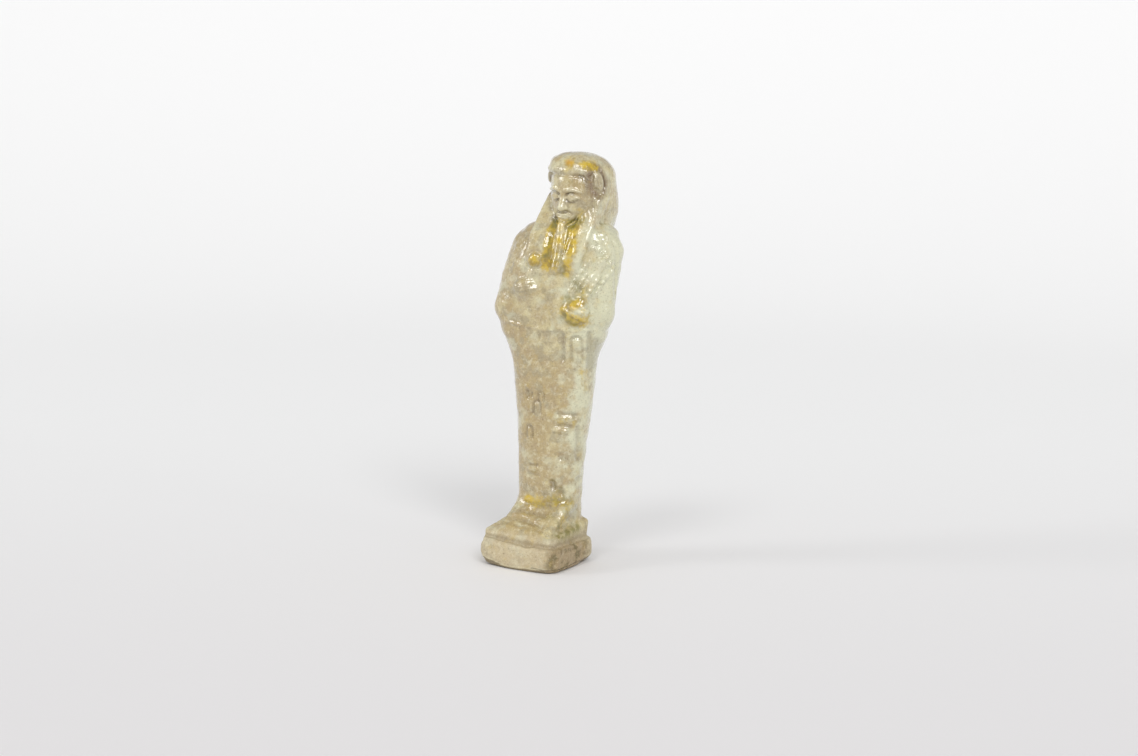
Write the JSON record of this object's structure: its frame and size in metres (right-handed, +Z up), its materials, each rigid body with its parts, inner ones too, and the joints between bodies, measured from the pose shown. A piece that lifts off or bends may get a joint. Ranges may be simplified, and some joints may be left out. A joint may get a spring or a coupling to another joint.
{
  "type": "ushabti figurine",
  "caption": "Mummy-shaped funerary figurine with a long three-part wig, false beard and crossed arms, on its own small square foot.",
  "frame": {"origin": "middle of the foot's flat underside", "axes": "+Z up, the figure faces -Y, its own left side is +X"},
  "size_m": [0.034, 0.0303, 0.1099],
  "materials": {
    "faience": "worn glossy glaze, pale grey-green with tan clouds, ochre pools in the hollows"
  },
  "bodies": {
    "root": {"figurine": "faience"}
  },
  "joints": []
}
